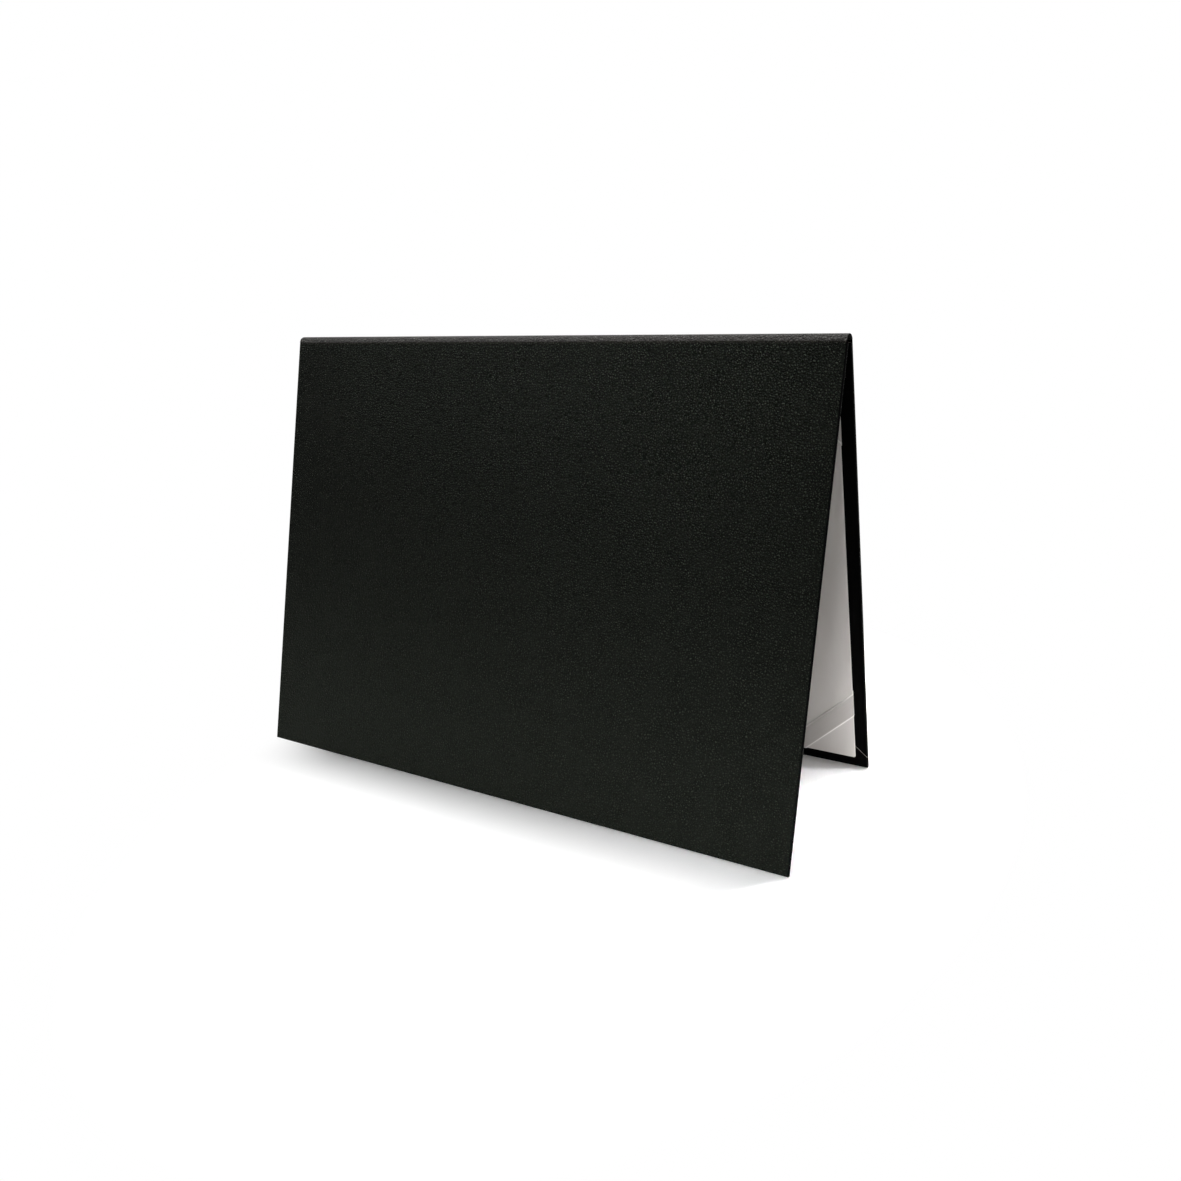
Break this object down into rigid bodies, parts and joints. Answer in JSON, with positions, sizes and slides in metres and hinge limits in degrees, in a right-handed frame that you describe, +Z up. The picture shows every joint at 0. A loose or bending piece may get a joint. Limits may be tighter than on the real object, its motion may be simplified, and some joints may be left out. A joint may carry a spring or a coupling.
{
  "type": "certificate cover",
  "caption": "Landscape leatherette folder hinged along its top edge, with white cloth linings and corner ribbons that hold a certificate; stands open like a tent.",
  "frame": {"origin": "on the ground, midway between the two feet and midway along the cover", "axes": "+X along the fold, to the right as the picture sees the front; +Y from the front panel to the rear one; +Z up"},
  "size_m": [0.31, 0.114, 0.2185],
  "materials": {
    "leatherette": "fine pebble grain, low sheen black",
    "greyboard": "raw grey-brown pulp board",
    "liner_card": "smooth off-white card",
    "liner_cloth": "warm white watered taffeta",
    "ribbon": "warm white satin ribbon"
  },
  "bodies": {
    "spine": {"spine_cover": "leatherette", "spine_lining": "leatherette"},
    "front_panel": {"front_cover": "leatherette", "front_board": "greyboard", "front_hinge_lining": "leatherette", "front_liner_card": "liner_card", "front_liner_cloth": "liner_cloth"},
    "rear_panel": {"rear_cover": "leatherette", "rear_board": "greyboard", "rear_hinge_lining": "leatherette", "rear_liner_card": "liner_card", "rear_liner_cloth": "liner_cloth", "ribbon_top_left": "ribbon", "ribbon_top_right": "ribbon", "ribbon_bottom_left": "ribbon", "ribbon_bottom_right": "ribbon"}
  },
  "joints": [
    {"name": "rear_crease", "type": "hinge", "parent": "spine", "child": "rear_panel", "pos_m": [0, 0.00345, 0.21582], "axis": [1, 0, 0], "range_deg": [-14, 76]},
    {"name": "front_crease", "type": "hinge", "parent": "spine", "child": "front_panel", "pos_m": [0, -0.00345, 0.21582], "axis": [-1, 0, 0], "range_deg": [-14, 76]}
  ],
  "couplings": [
    {"joint": "front_crease", "follows": "rear_crease", "ratio": 1}
  ]
}
